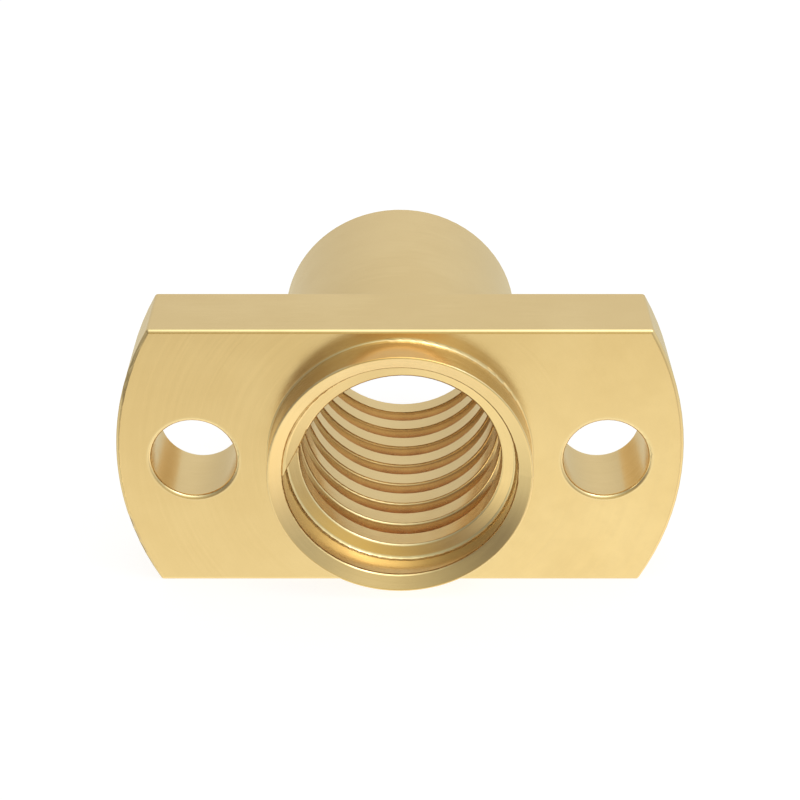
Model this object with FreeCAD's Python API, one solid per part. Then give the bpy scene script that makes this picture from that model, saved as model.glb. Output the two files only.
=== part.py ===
import FreeCAD, Part

import math
import os

# Flanged lead screw nut, turned and milled from one piece of brass.
# Frame: millimetres, +Z up. The screw axis is the Y axis. The origin is on that
# axis in the flange's barrel-side face, so the flange and the short collar lie
# towards -Y and the long barrel towards +Y. The two flats face up and down.

# flange
FLANGE_D = 22.0
FLANGE_T = 3.5
FLATS = 11.0          # distance across the two flats
# collar in front of the flange and barrel behind it
COLLAR_D = 10.2
COLLAR_H = 1.5
BARREL_D = 10.2
BARREL_L = 10.0
# fixing holes
HOLE_D = 3.3
HOLE_PCD = 16.0
# inward cone on the collar's mouth
MOUTH_CONE = 30.0     # degrees off the plane of the face
# every outer edge is broken
EDGE_R = 0.15         # flange edges, hole rims and the barrel's end
CORNER_R = 0.065      # the sharp corner between the collar's side and its mouth
BASE_R = 0.10         # hollow corners where collar and barrel meet the flange
MOUTH_R = 0.12
# thread: one start, right hand
CREST_D = 7.86        # minor diameter, over the crests of the ridge
ROOT_D = 9.0          # major diameter, in the root of the groove
PITCH = 1.64
CREST_W = 0.88        # ridge width at the crest, to its sharp corners
FLANK = 15.0          # degrees off the radial direction
CREST_R = 0.10        # rounding of the ridge's crest corners
ROOT_R = 0.16         # rounding of the hollow corners in the root
TURNS = 8.0
START_DEG = 181.3     # where the ridge comes out of the wall, 180 = -X side
START_Y = -4.615      # the ridge's front corner at that angle
RUNOUT = 3.913        # distance of the run-in and run-out flats from the axis
RUN_BREAK = 0.035     # depth of the edge break along those flats

Y = FreeCAD.Vector(0, 1, 0)
ORIGIN = FreeCAD.Vector(0, 0, 0)


def vec(x, y, z):
    return FreeCAD.Vector(x, y, z)


def cylinder(d, y0, y1):
    return Part.makeCylinder(d / 2, y1 - y0, vec(0, y0, 0), Y)


# ---- blank: collar, flange and barrel as one turned profile ----------------
front = -FLANGE_T - COLLAR_H
r_root = ROOT_D / 2
r_collar = COLLAR_D / 2
cone = math.radians(MOUTH_CONE)
# the collar's sharp corner, which the edge break takes back to COLLAR_H
corner_y = front - CORNER_R * ((1 + math.sin(cone)) / math.cos(cone) - 1)
mouth_y = corner_y + (r_collar - r_root) * math.tan(cone)
outline = [
    (r_root, mouth_y),
    (r_collar, corner_y),
    (r_collar, -FLANGE_T),
    (FLANGE_D / 2, -FLANGE_T),
    (FLANGE_D / 2, 0.0),
    (BARREL_D / 2, 0.0),
    (BARREL_D / 2, BARREL_L),
    (r_root, BARREL_L),
]
points = [vec(r, y, 0) for r, y in outline]
face = Part.Face(Part.makePolygon(points + points[:1]))
blank = face.revolve(ORIGIN, Y, 360)

# ---- two flats across the flange ------------------------------------------
for side in (1, -1):
    z0 = FLATS / 2 if side > 0 else -FLATS / 2 - 10
    blank = blank.cut(Part.makeBox(30, FLANGE_T + 2, 10, vec(-15, -FLANGE_T - 1, z0)))

# ---- two fixing holes ------------------------------------------------------
for side in (1, -1):
    hole = Part.makeCylinder(HOLE_D / 2, FLANGE_T + 2,
                             vec(side * HOLE_PCD / 2, -FLANGE_T - 1, 0), Y)
    blank = blank.cut(hole)
blank = blank.removeSplitter()

# ---- edge breaks -----------------------------------------------------------
def edge_kind(e):
    """Which rounding an edge of the blank gets."""
    b = e.BoundBox
    mid = e.valueAt((e.FirstParameter + e.LastParameter) / 2)
    if b.YLength > 1e-6:
        # edges along the axis: only the four corners between flats and rim count
        return "outer" if abs(abs(mid.z) - FLATS / 2) < 1e-6 else None
    r = math.hypot(mid.x, mid.z)
    if abs(r - r_root) < 1e-6 and mid.y < 0:
        return "lip"
    if abs(r - r_collar) < 1e-6 and abs(mid.y - corner_y) < 1e-6:
        return "corner"
    if abs(r - r_collar) < 1e-6 and abs(mid.y + FLANGE_T) < 1e-6:
        return "hollow"
    if abs(r - BARREL_D / 2) < 1e-6 and abs(mid.y) < 1e-6:
        return "hollow"
    return "outer"


for kind, radius in (("outer", EDGE_R), ("hollow", BASE_R), ("corner", CORNER_R), ("lip", MOUTH_R)):
    blank = blank.makeFillet(radius, [e for e in blank.Edges if edge_kind(e) == kind])

# ---- thread ridge ----------------------------------------------------------
# Section of the ridge in the plane that holds the axis: radius, and y from the
# ridge's middle. From below the crest it follows the rounding of the corner, runs
# up the flank, follows the rounding in the root and ends inside the wall.
r_crest = CREST_D / 2
flank = math.radians(FLANK)
half = CREST_W / 2
wide = half + (r_root - r_crest) * math.tan(flank)
low, bury = 0.10, 0.02
k_crest = CREST_R * math.tan(math.radians((90 - FLANK) / 2))
k_root = ROOT_R * math.tan(math.radians((90 - FLANK) / 2))


def crest_corner(deg):
    a = math.radians(deg)
    return (r_crest + CREST_R - CREST_R * math.cos(a),
            half - k_crest + CREST_R * math.sin(a))


def root_corner(deg):
    a = math.radians(deg)
    return (r_root - ROOT_R + ROOT_R * math.cos(a),
            wide + k_root - ROOT_R * math.sin(a))


def run_on(pt, deg, r_to):
    """The point at radius r_to on the line through pt, deg off the axis."""
    return r_to, pt[1] + (r_to - pt[0]) / math.tan(math.radians(deg))


# each rounding stops a little short of tangent, so that it meets the crest
# and the root at a clean angle
short = 22.0
shallow = 14.0
last = 90 - FLANK
p1 = crest_corner(short)
p2 = crest_corner((short + last) / 2)
p3 = crest_corner(last)
p0 = run_on(p1, short, r_crest - low)
p4 = root_corner(last)
p5 = root_corner((shallow + last) / 2)
p6 = root_corner(shallow)
p7 = run_on(p6, shallow, r_root + bury)


def place(rad, dy, ang, mid_y):
    return vec(rad * math.cos(ang), mid_y + dy, rad * math.sin(ang))


# the sweep turns clockwise seen from the front as it goes deeper
lead_in = 18.0  # degrees of extra sweep, cut off again by the run-in flat
a0 = math.radians(START_DEG + lead_in)
mid0 = START_Y + half - PITCH * lead_in / 360


def at(pt, s):
    return place(pt[0], s * pt[1], a0, mid0)


edges = [
    Part.LineSegment(at(p7, -1), at(p6, -1)).toShape(),
    Part.Arc(at(p6, -1), at(p5, -1), at(p4, -1)).toShape(),
    Part.LineSegment(at(p4, -1), at(p3, -1)).toShape(),
    Part.Arc(at(p3, -1), at(p2, -1), at(p1, -1)).toShape(),
    Part.LineSegment(at(p1, -1), at(p0, -1)).toShape(),
    Part.LineSegment(at(p0, -1), at(p0, 1)).toShape(),
    Part.LineSegment(at(p0, 1), at(p1, 1)).toShape(),
    Part.Arc(at(p1, 1), at(p2, 1), at(p3, 1)).toShape(),
    Part.LineSegment(at(p3, 1), at(p4, 1)).toShape(),
    Part.Arc(at(p4, 1), at(p5, 1), at(p6, 1)).toShape(),
    Part.LineSegment(at(p6, 1), at(p7, 1)).toShape(),
    Part.LineSegment(at(p7, 1), at(p7, -1)).toShape(),
]
section = Part.Wire(edges)

turns = TURNS + 2 * lead_in / 360
helix = Part.makeHelix(PITCH, PITCH * turns, r_crest)
# the helix is made about Z from +X, turning anticlockwise seen from above:
# lay it along +Y, which makes it clockwise seen from -Y, and turn it to the start
helix.rotate(ORIGIN, vec(1, 0, 0), -90)
helix.rotate(ORIGIN, Y, -math.degrees(a0))
helix.translate(vec(0, mid0, 0))
ridge = helix.makePipeShell([section], True, True)

tube = cylinder(ROOT_D + 2, mouth_y, BARREL_L)
tube = tube.cut(cylinder(CREST_D, front - 1, BARREL_L + 1))
# beside the rounding of the mouth the ridge stays just inside the wall
shoulder = cylinder(ROOT_D + 3, front - 1, mouth_y + 0.05)
shoulder = shoulder.cut(cylinder(ROOT_D - 0.06, front - 2, 0))
tube = tube.cut(shoulder)
ridge = ridge.common(tube)

# flats where the ridge rises out of the wall and sinks back into it: each is
# a plane along the axis, nearly tangent to the crest circle
rise = math.degrees(math.acos(RUNOUT / r_root))


def flat_cutter(deg, way, y0, y1):
    # a block with its top in that plane, reaching only over the ridge's end
    reach, deep = 3.45, 1.45
    x0 = 0.0 if way > 0 else -reach
    box = Part.makeBox(reach, y1 - y0, deep, vec(x0, y0, RUNOUT - deep))
    box.rotate(ORIGIN, Y, 90 - deg)
    return box


foot_in = START_DEG - rise
end_deg = START_DEG - 360 * TURNS
foot_out = end_deg + rise
y_in = START_Y + PITCH * rise / 360 + CREST_W
ridge = ridge.cut(flat_cutter(foot_in, -1, front - 3, y_in + 0.25))
y_out = START_Y + PITCH * (TURNS - rise / 360)
ridge = ridge.cut(flat_cutter(foot_out, 1, y_out - 0.25, BARREL_L + 3))


def run_edge(deg, side):
    """Point where a run flat meets the flank at this angle; side -1 is the front."""
    foot = foot_in if side < 0 else foot_out
    a = math.radians(deg)
    rad = RUNOUT / math.cos(math.radians(deg - foot))
    mid = START_Y + half + PITCH * (START_DEG - deg) / 360
    return place(rad, side * (half + (rad - r_crest) * math.tan(flank)), a, mid)


def break_edge(shape, side):
    """A narrow flat along the edge between a run flat and the flank."""
    foot = foot_in if side < 0 else foot_out
    to_crest = math.degrees(math.acos(RUNOUT / r_crest))
    a = run_edge(foot - side * rise, side)
    b = run_edge(foot - side * to_crest, side)
    along = (b - a).normalize()
    f = math.radians(foot)
    up = (vec(-math.cos(f), 0, -math.sin(f)) + vec(0, side, 0)).normalize()
    up = (up - along * up.dot(along)).normalize()
    over = up.cross(along)
    start = a - along * 0.05 - up * RUN_BREAK
    box = Part.makeBox(a.distanceToPoint(b) + 0.35, 0.5, 0.25, vec(0, -0.25, 0))
    m = FreeCAD.Matrix(along.x, over.x, up.x, start.x,
                       along.y, over.y, up.y, start.y,
                       along.z, over.z, up.z, start.z, 0, 0, 0, 1)
    box.Placement = FreeCAD.Placement(m)
    return shape.cut(box)


ridge = break_edge(ridge, -1)
ridge = break_edge(ridge, 1)

nut = blank.fuse(ridge)
if len(nut.Solids) != 1:
    raise RuntimeError("the nut is not one solid: %d" % len(nut.Solids))
nut = nut.Solids[0]

os.makedirs("parts", exist_ok=True)
nut.exportStep("parts/nut.step")

kinds = {}
for f in nut.Faces:
    n = type(f.Surface).__name__
    kinds[n] = kinds.get(n, 0) + 1
b = nut.BoundBox
print("valid", nut.isValid(), "volume", round(nut.Volume, 3), "faces", kinds)
print("box", [round(v, 3) for v in (b.XMin, b.YMin, b.ZMin, b.XMax, b.YMax, b.ZMax)])
print("centre of mass", [round(v, 3) for v in nut.CenterOfMass])
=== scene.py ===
import math

import bpy
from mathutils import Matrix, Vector


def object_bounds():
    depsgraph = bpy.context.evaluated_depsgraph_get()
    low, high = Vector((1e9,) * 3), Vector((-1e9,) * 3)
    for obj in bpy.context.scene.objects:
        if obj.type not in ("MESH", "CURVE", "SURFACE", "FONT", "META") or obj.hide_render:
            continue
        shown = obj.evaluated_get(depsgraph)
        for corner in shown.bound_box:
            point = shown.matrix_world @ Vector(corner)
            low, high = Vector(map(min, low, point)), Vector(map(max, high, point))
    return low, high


# ---------------------------------------------------------------- frame
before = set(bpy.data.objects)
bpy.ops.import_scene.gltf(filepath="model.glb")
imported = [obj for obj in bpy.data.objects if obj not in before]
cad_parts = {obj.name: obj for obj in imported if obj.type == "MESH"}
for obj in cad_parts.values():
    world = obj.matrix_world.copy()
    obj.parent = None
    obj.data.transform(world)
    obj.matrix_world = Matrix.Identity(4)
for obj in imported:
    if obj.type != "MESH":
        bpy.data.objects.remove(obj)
CAD_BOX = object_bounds()
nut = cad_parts["nut"]
FLOOR_Z = CAD_BOX[0].z

# ---------------------------------------------------------------- node helpers


def new_tree(tree):
    for n in list(tree.nodes):
        tree.nodes.remove(n)
    return tree


def put(tree, value, socket):
    if isinstance(value, bpy.types.NodeSocket):
        tree.links.new(value, socket)
    else:
        socket.default_value = value


def math_node(tree, op, a, b=None, c=None, clamp=False):
    n = tree.nodes.new("ShaderNodeMath")
    n.operation = op
    n.use_clamp = clamp
    put(tree, a, n.inputs[0])
    if b is not None:
        put(tree, b, n.inputs[1])
    if c is not None:
        put(tree, c, n.inputs[2])
    return n.outputs[0]


def vec_node(tree, op, a, b=None, scale=None):
    n = tree.nodes.new("ShaderNodeVectorMath")
    n.operation = op
    put(tree, a, n.inputs[0])
    if b is not None:
        put(tree, b, n.inputs[1])
    if scale is not None:
        put(tree, scale, n.inputs["Scale"])
    return n.outputs["Value"] if op in ("DOT_PRODUCT", "LENGTH", "DISTANCE") else n.outputs["Vector"]


def ramp(tree, value, lo, hi, to_lo=0.0, to_hi=1.0, smooth=True):
    n = tree.nodes.new("ShaderNodeMapRange")
    n.interpolation_type = "SMOOTHSTEP" if smooth else "LINEAR"
    put(tree, value, n.inputs["Value"])
    n.inputs["From Min"].default_value = lo
    n.inputs["From Max"].default_value = hi
    n.inputs["To Min"].default_value = to_lo
    n.inputs["To Max"].default_value = to_hi
    return n.outputs["Result"]


def combine(tree, x, y, z):
    n = tree.nodes.new("ShaderNodeCombineXYZ")
    put(tree, x, n.inputs[0])
    put(tree, y, n.inputs[1])
    put(tree, z, n.inputs[2])
    return n.outputs[0]


def noise(tree, vector, scale, detail=2.0, rough=0.5, w=None):
    n = tree.nodes.new("ShaderNodeTexNoise")
    n.noise_dimensions = "4D" if w is not None else "3D"
    put(tree, vector, n.inputs["Vector"])
    if w is not None:
        put(tree, w, n.inputs["W"])
    n.inputs["Scale"].default_value = scale
    n.inputs["Detail"].default_value = detail
    n.inputs["Roughness"].default_value = rough
    return n.outputs[0]


def mix_colour(tree, fac, a, b):
    n = tree.nodes.new("ShaderNodeMix")
    n.data_type = "RGBA"
    n.blend_type = "MIX"
    put(tree, fac, n.inputs[0])
    put(tree, a, n.inputs[6])
    put(tree, b, n.inputs[7])
    return n.outputs[2]


# ---------------------------------------------------------------- brass


def brass():
    m = bpy.data.materials.new("machined_brass")
    m.use_nodes = True
    t = new_tree(m.node_tree)
    coord = t.nodes.new("ShaderNodeTexCoord")
    p = vec_node(t, "SCALE", coord.outputs["Object"], scale=1000.0)  # millimetres
    s = t.nodes.new("ShaderNodeSeparateXYZ")
    t.links.new(p, s.inputs[0])
    x, y, z = s.outputs
    g = t.nodes.new("ShaderNodeNewGeometry")
    ns = t.nodes.new("ShaderNodeSeparateXYZ")
    t.links.new(g.outputs["Normal"], ns.inputs[0])
    ny = math_node(t, "ABSOLUTE", ns.outputs[1])

    # distance from the screw axis, and the direction round it
    r = math_node(t, "SQRT", math_node(t, "ADD", math_node(t, "MULTIPLY", x, x), math_node(t, "MULTIPLY", z, z)))
    r_safe = math_node(t, "MAXIMUM", r, 0.001)
    ux = math_node(t, "DIVIDE", x, r_safe)
    uz = math_node(t, "DIVIDE", z, r_safe)

    # distance from the nearer fixing hole's axis
    hx = math_node(t, "SUBTRACT", math_node(t, "ABSOLUTE", x), 8.0)
    hd = math_node(t, "SQRT", math_node(t, "ADD", math_node(t, "MULTIPLY", hx, hx), math_node(t, "MULTIPLY", z, z)))
    in_hole = ramp(t, hd, 1.66, 1.78, 1.0, 0.0)
    # the two milled flats
    on_flat = ramp(t, math_node(t, "ABSOLUTE", ns.outputs[2]), 0.995, 0.999)
    on_flat = math_node(t, "MULTIPLY", on_flat, ramp(t, math_node(t, "ABSOLUTE", z), 5.38, 5.46))

    # turning marks: rings round the axis on faces and on cylinders alike
    ring_r = math_node(t, "MULTIPLY", r, math_node(t, "SUBTRACT", 1.0, in_hole))
    turn_v = combine(t, math_node(t, "MULTIPLY", ring_r, 9.0), math_node(t, "MULTIPLY", y, 9.0), math_node(t, "MULTIPLY", ux, 1.3))
    turned = noise(t, turn_v, 1.0, 3.0, 0.62, w=math_node(t, "MULTIPLY", uz, 1.3))
    mill_v = combine(t, math_node(t, "MULTIPLY", x, 0.35), math_node(t, "MULTIPLY", y, 11.0), 0.0)
    milled = noise(t, mill_v, 1.0, 3.0, 0.6)
    marks = t.nodes.new("ShaderNodeMix")
    marks.data_type = "FLOAT"
    put(t, on_flat, marks.inputs[0])
    put(t, turned, marks.inputs[2])
    put(t, milled, marks.inputs[3])
    marks = marks.outputs[0]

    grain = noise(t, p, 16.0, 2.0, 0.55)
    cloud = noise(t, p, 0.28, 3.0, 0.55)
    blotch = noise(t, p, 1.3, 3.0, 0.6)

    # worn, polished edges: the small roundings, found by their slant
    slant = math_node(t, "MULTIPLY", ramp(t, ny, 0.12, 0.45), ramp(t, ny, 0.84, 0.96, 1.0, 0.0))
    outside = math_node(t, "MAXIMUM", ramp(t, r, 4.95, 5.02), ramp(t, y, 9.7, 9.8))
    not_corner = math_node(t, "SUBTRACT", 1.0, math_node(t, "MULTIPLY", ramp(t, math_node(t, "ABSOLUTE", math_node(t, "ADD", y, 1.75)), 1.70, 1.76), ramp(t, r, 5.3, 5.35, 1.0, 0.0)))
    worn = math_node(t, "MULTIPLY", math_node(t, "MULTIPLY", slant, outside), not_corner)
    worn = math_node(t, "MULTIPLY", worn, ramp(t, blotch, 0.30, 0.62, 0.35, 1.0))
    rim = math_node(t, "MULTIPLY", ramp(t, hd, 1.80, 1.88, 1.0, 0.0), ramp(t, math_node(t, "ABSOLUTE", math_node(t, "ADD", y, 1.75)), 1.50, 1.62))

    # browner, darker grooves behind the front turn: partly an oil film, partly painted shade in the recess, fitted to
    # the photograph
    groove_film_and_shade = math_node(t, "MULTIPLY", ramp(t, r, 4.00, 4.40), ramp(t, r, 4.55, 4.60, 1.0, 0.0))
    behind = math_node(t, "MULTIPLY_ADD", math_node(t, "ARCTAN2", z, x), 0.261, math_node(t, "ADD", y, 3.789))  # behind the front turn
    groove_film_and_shade = math_node(t, "MULTIPLY", groove_film_and_shade, math_node(t, "MULTIPLY", ramp(t, behind, 0.70, 0.95), ramp(t, y, 8.4, 9.1, 1.0, 0.0)))
    groove_film_and_shade = math_node(t, "MULTIPLY", groove_film_and_shade, ramp(t, blotch, 0.30, 0.70, 0.65, 1.0))
    # painted shade: a darker stripe high on the flanks, just under the edge of the thread's top
    inside = math_node(t, "MULTIPLY", ramp(t, behind, 0.30, 0.60), ramp(t, y, 9.0, 9.3, 1.0, 0.0))
    painted_shade_line = math_node(t, "MULTIPLY", inside, math_node(t, "MULTIPLY", ramp(t, r, 3.965, 3.995), ramp(t, r, 4.025, 4.075, 1.0, 0.0)))
    painted_shade_line = math_node(t, "MULTIPLY", painted_shade_line, ramp(t, blotch, 0.30, 0.70, 0.70, 1.0))
    # painted highlight: a pale stripe along the edge of the thread's top, which is also worn pale
    crest_edge_highlight = math_node(t, "MULTIPLY", ramp(t, r, 3.932, 3.940), ramp(t, r, 3.955, 3.985, 1.0, 0.0))
    # painted highlight, fitted to the photograph: the corner in front of the first turn is lightened beyond what the
    # reflections alone make it
    painted_corner_highlight = math_node(t, "MULTIPLY", ramp(t, behind, -0.36, -0.26), ramp(t, behind, -0.10, -0.05, 1.0, 0.0))
    painted_corner_highlight = math_node(t, "MULTIPLY", painted_corner_highlight, math_node(t, "MULTIPLY", ramp(t, r, 4.36, 4.42), ramp(t, r, 4.55, 4.60, 1.0, 0.0)))
    painted_corner_highlight = math_node(t, "MULTIPLY", painted_corner_highlight, ramp(t, uz, -0.2, 0.3, 1.0, 0.0))
    # painted light, fitted to the photograph: the collar's side is painted paler to the left and right
    side = math_node(t, "MULTIPLY", ramp(t, r, 5.05, 5.08), ramp(t, r, 5.12, 5.15, 1.0, 0.0))
    side = math_node(t, "MULTIPLY", side, ramp(t, y, -3.55, -3.50, 1.0, 0.0))
    painted_pale_sides = math_node(t, "MULTIPLY", side, ramp(t, uz, 0.90, 0.98, 1.0, 0.0))
    painted_pale_sides = math_node(t, "MULTIPLY", painted_pale_sides, ramp(t, blotch, 0.30, 0.70, 0.75, 1.0))
    # painted reflection, fitted to the photograph: an amber patch on top of the collar, soft, and other views show it
    # too
    front = math_node(t, "MULTIPLY", math_node(t, "SUBTRACT", -3.5, y), math_node(t, "MULTIPLY_ADD", math_node(t, "MULTIPLY", uz, uz), 1.036, -0.518))
    painted_amber_reflection = ramp(t, math_node(t, "ADD", math_node(t, "SUBTRACT", front, 5.33), z), -0.30, 0.16)
    painted_amber_reflection = math_node(t, "MULTIPLY", painted_amber_reflection, side)
    painted_amber_reflection = math_node(t, "MULTIPLY", painted_amber_reflection, ramp(t, blotch, 0.30, 0.70, 0.85, 1.0))

    tint = math_node(t, "ADD", math_node(t, "MULTIPLY", cloud, 0.65), math_node(t, "MULTIPLY", marks, 0.35))
    colour = mix_colour(t, ramp(t, tint, 0.36, 0.64), (0.850, 0.662, 0.406, 1.0), (0.890, 0.704, 0.446, 1.0))
    colour = mix_colour(t, math_node(t, "MULTIPLY", worn, 0.45), colour, (0.925, 0.760, 0.510, 1.0))
    colour = mix_colour(t, math_node(t, "MULTIPLY", rim, 0.25), colour, (0.960, 0.850, 0.650, 1.0))
    # painted light: paler left and right sides of the collar
    colour = mix_colour(t, math_node(t, "MULTIPLY", painted_pale_sides, 0.80), colour, (0.930, 0.790, 0.570, 1.0))
    # painted shade, with an oil film, in the grooves
    colour = mix_colour(t, math_node(t, "MULTIPLY", groove_film_and_shade, 0.80), colour, (0.660, 0.362, 0.245, 1.0))
    # painted shade under the thread's top edge
    colour = mix_colour(t, math_node(t, "MULTIPLY", painted_shade_line, 0.42), colour, (0.440, 0.235, 0.130, 1.0))
    # painted highlight on the thread's top edge
    colour = mix_colour(t, math_node(t, "MULTIPLY", crest_edge_highlight, 0.80), colour, (0.970, 0.860, 0.640, 1.0))
    # painted highlight in the corner in front of the first turn
    colour = mix_colour(t, math_node(t, "MULTIPLY", painted_corner_highlight, 0.75), colour, (0.940, 0.810, 0.560, 1.0))
    # painted amber reflection on top of the collar
    colour = mix_colour(t, math_node(t, "MULTIPLY", painted_amber_reflection, 0.85), colour, (0.820, 0.485, 0.185, 1.0))

    rough = math_node(t, "ADD", ramp(t, marks, 0.30, 0.70, -0.030, 0.030), ramp(t, blotch, 0.30, 0.70, -0.020, 0.025))
    rough = math_node(t, "ADD", rough, math_node(t, "MULTIPLY", groove_film_and_shade, 0.06))
    rough = math_node(t, "SUBTRACT", rough, math_node(t, "MULTIPLY", worn, 0.05))
    rough = math_node(t, "ADD", rough, 0.215)

    b1 = t.nodes.new("ShaderNodeBump")
    b1.inputs["Strength"].default_value = 0.5
    b1.inputs["Distance"].default_value = 0.0000022
    t.links.new(marks, b1.inputs["Height"])
    b2 = t.nodes.new("ShaderNodeBump")
    b2.inputs["Strength"].default_value = 0.4
    b2.inputs["Distance"].default_value = 0.0000010
    t.links.new(grain, b2.inputs["Height"])
    t.links.new(b1.outputs[0], b2.inputs["Normal"])

    sh = t.nodes.new("ShaderNodeBsdfPrincipled")
    sh.inputs["Metallic"].default_value = 1.0
    put(t, colour, sh.inputs["Base Color"])
    put(t, rough, sh.inputs["Roughness"])
    t.links.new(b2.outputs[0], sh.inputs["Normal"])
    out = t.nodes.new("ShaderNodeOutputMaterial")
    t.links.new(sh.outputs[0], out.inputs[0])
    return m


nut.material_slots[0].material = brass()

# ---------------------------------------------------------------- floor


def floor():
    half = 1.5
    mesh = bpy.data.meshes.new("floor")
    mesh.from_pydata(
        [(-half, -half, FLOOR_Z), (half, -half, FLOOR_Z), (half, half, FLOOR_Z), (-half, half, FLOOR_Z)],
        [],
        [(0, 1, 2, 3)],
    )
    o = bpy.data.objects.new("floor", mesh)
    bpy.context.scene.collection.objects.link(o)
    m = bpy.data.materials.new("light_table")
    m.use_nodes = True
    t = new_tree(m.node_tree)
    d = t.nodes.new("ShaderNodeBsdfDiffuse")
    d.inputs["Color"].default_value = (0.42, 0.42, 0.42, 1.0)
    e = t.nodes.new("ShaderNodeEmission")
    e.inputs["Color"].default_value = (1.0, 1.0, 1.0, 1.0)
    e.inputs["Strength"].default_value = 0.80
    a = t.nodes.new("ShaderNodeAddShader")
    t.links.new(d.outputs[0], a.inputs[0])
    t.links.new(e.outputs[0], a.inputs[1])
    out = t.nodes.new("ShaderNodeOutputMaterial")
    t.links.new(a.outputs[0], out.inputs[0])
    mesh.materials.append(m)
    o.visible_glossy = False
    return o


floor()

# ---------------------------------------------------------------- studio light
# Soft reflectors all round: azimuth 0 is the camera's side (-Y), 90 is the right (+X); then elevation, sharpness and colour.
REFLECTORS = [
    (61, 71, 6.9, (0.77, 0.88, 0.82)),     # large soft box above, to the right
    (26, 50, 8.0, (0.76, 0.69, 0.43)),     # its spill towards the camera
    (10, 88, 9.0, (0.45, 0.48, 0.28)),     # bare ceiling straight above
    (178, 27, 1.2, (0.70, 0.67, 0.51)),    # pale wall behind
    (-30, 26, 7.9, (0.22, 0.22, 0.13)),    # wall behind the camera
    (4, 2, 21.9, (0.54, 0.43, 0.10)),
    (-13, -8, 5.9, (0.04, 0.00, 0.00)),
    (78, 17, 2.6, (0.50, 0.51, 0.38)),     # wall on the right
    (8, -34, 25.0, (0.80, 0.79, 0.55)),    # lit table: in front
    (-22, -29, 60.0, (0.83, 0.80, 0.53)),
    (55, -36, 8.9, (0.58, 0.49, 0.31)),    # to the right
    (106, -61, 3.8, (0.78, 0.75, 0.54)),
    (10, -84, 25.6, (0.27, 0.27, 0.25)),   # straight below
    (-31, -56, 13.6, (0.73, 0.70, 0.46)),  # to the left
    (-68, -26, 12.3, (0.57, 0.57, 0.39)),
    (-121, -49, 3.5, (0.53, 0.48, 0.34)),  # and behind
]
AMBIENT = (0.0, 0.0, 0.01)


def studio(reflectors, ambient):
    w = bpy.data.worlds.new("studio")
    bpy.context.scene.world = w
    w.use_nodes = True
    t = new_tree(w.node_tree)
    coord = t.nodes.new("ShaderNodeTexCoord")
    ray = vec_node(t, "NORMALIZE", coord.outputs["Generated"])
    total = None
    for az, el, k, rgb in reflectors:
        a, e = math.radians(az), math.radians(el)
        d = (math.sin(a) * math.cos(e), -math.cos(a) * math.cos(e), math.sin(e))
        lobe = math_node(t, "EXPONENT", math_node(t, "MULTIPLY_ADD", vec_node(t, "DOT_PRODUCT", ray, d), k, -k))
        part = vec_node(t, "SCALE", tuple(rgb), scale=lobe)
        total = vec_node(t, "ADD", part, tuple(ambient) if total is None else total)
    room = t.nodes.new("ShaderNodeBackground")
    t.links.new(total, room.inputs[0])
    white = t.nodes.new("ShaderNodeBackground")
    white.inputs[0].default_value = (1.0, 1.0, 1.0, 1.0)
    white.inputs[1].default_value = 1.0
    fill = t.nodes.new("ShaderNodeBackground")
    fill.inputs[0].default_value = (1.0, 1.0, 1.0, 1.0)
    fill.inputs[1].default_value = 0.55
    path = t.nodes.new("ShaderNodeLightPath")
    m1 = t.nodes.new("ShaderNodeMixShader")
    t.links.new(path.outputs["Is Diffuse Ray"], m1.inputs[0])
    t.links.new(room.outputs[0], m1.inputs[1])
    t.links.new(fill.outputs[0], m1.inputs[2])
    m2 = t.nodes.new("ShaderNodeMixShader")
    t.links.new(path.outputs["Is Camera Ray"], m2.inputs[0])
    t.links.new(m1.outputs[0], m2.inputs[1])
    t.links.new(white.outputs[0], m2.inputs[2])
    out = t.nodes.new("ShaderNodeOutputWorld")
    t.links.new(m2.outputs[0], out.inputs[0])
    w.cycles.sampling_method = "NONE"
    return w


studio(REFLECTORS, AMBIENT)


def soft_lamp(name, az, el, distance, size, radiance, colour):
    """A round area light that looks at the nut; its brightness is given as radiance."""
    a, e = math.radians(az), math.radians(el)
    d = Vector((math.sin(a) * math.cos(e), -math.cos(a) * math.cos(e), math.sin(e)))
    lamp = bpy.data.lights.new(name, "AREA")
    lamp.shape = "DISK"
    lamp.size = size
    lamp.energy = math.pi * (math.pi * size * size / 4) * radiance
    lamp.color = colour
    o = bpy.data.objects.new(name, lamp)
    o.location = d * distance
    o.rotation_mode = "QUATERNION"
    o.rotation_quaternion = d.to_track_quat("Z", "Y")
    o.visible_camera = False
    bpy.context.scene.collection.objects.link(o)
    return o


soft_lamp("key_lamp", 60, 58, 0.30, 0.10, 2.2, (1.0, 0.99, 0.92))

# ---------------------------------------------------------------- camera
cam = bpy.data.cameras.new("camera")
cam.sensor_width = 36.0
cam.sensor_fit = "HORIZONTAL"
cam.lens = 89.42
cam.clip_start = 0.001
cam.clip_end = 20.0
camera = bpy.data.objects.new("camera", cam)
camera.location = (0.0, -0.07118, 0.03687)
camera.rotation_euler = (math.radians(63.126), 0.0, 0.0)
bpy.context.scene.collection.objects.link(camera)
bpy.context.scene.camera = camera

bpy.context.scene.view_settings.view_transform = "Standard"
bpy.context.scene.view_settings.look = "None"

# ---------------------------------------------------------------- finish
bpy.context.view_layer.update()
